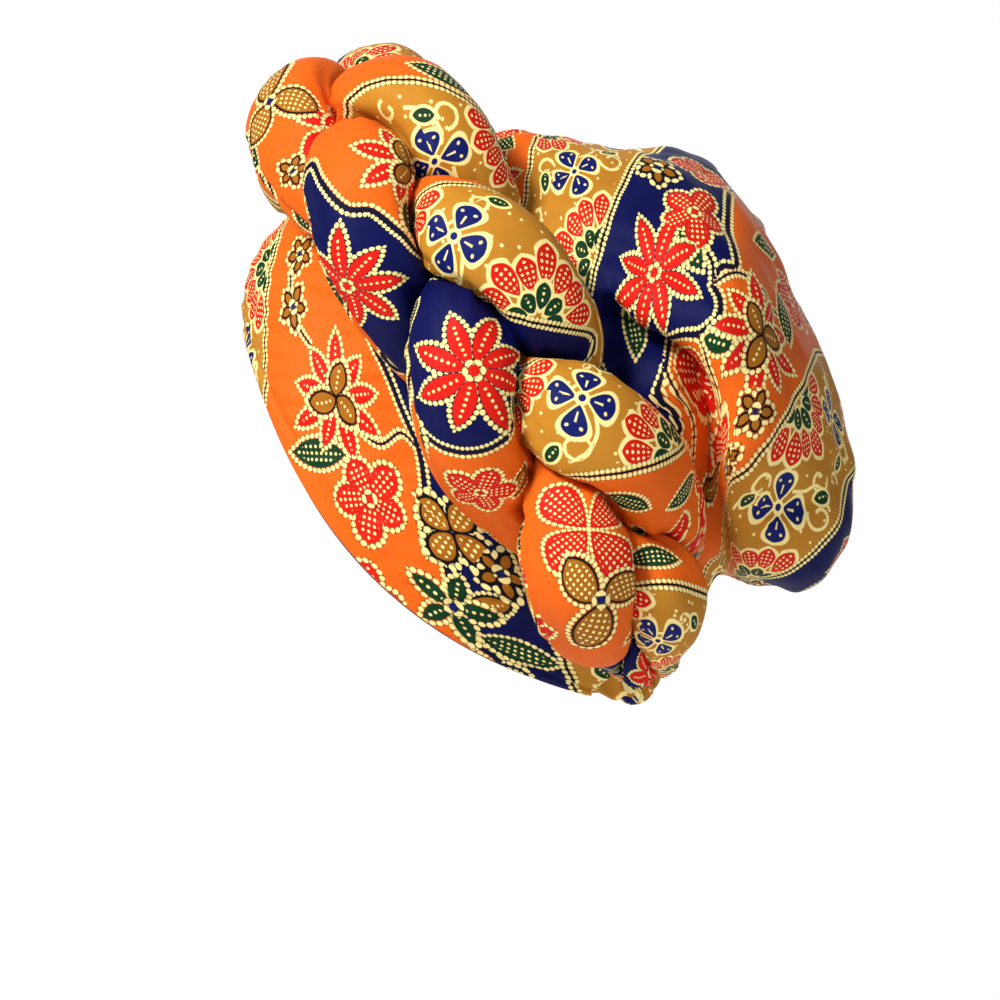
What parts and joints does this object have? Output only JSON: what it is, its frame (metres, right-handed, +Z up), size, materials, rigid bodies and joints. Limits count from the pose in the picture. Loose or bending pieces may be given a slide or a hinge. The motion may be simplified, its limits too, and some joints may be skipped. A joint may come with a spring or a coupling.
{
  "type": "padded braid turban",
  "caption": "Ready-tied printed cotton turban with a wide band, a stuffed braid over its seam and a slouched bag behind, open below for the head.",
  "frame": {"origin": "middle of the head opening, on the line from the middle of the front hem to the middle of the back hem", "axes": "-Y is the wearer's front, +X the wearer's left and +Z up, as worn"},
  "size_m": [0.283, 0.2567, 0.2804],
  "materials": {
    "band_cloth": "satin cotton with a wax-print pattern of flowers, vines and beaded lines on orange, navy and ochre",
    "casing_cloth": "the same printed cotton, its ochre stretch, gathered",
    "bag_cloth": "the same printed cotton, loose and slouched",
    "braid_cloth": "the same printed cotton over soft filling"
  },
  "bodies": {
    "root": {"head_band": "band_cloth", "nape_casing": "casing_cloth", "slouch_bag": "bag_cloth", "braid_strand_a": "braid_cloth", "braid_strand_b": "braid_cloth", "braid_strand_c": "braid_cloth"}
  },
  "joints": []
}
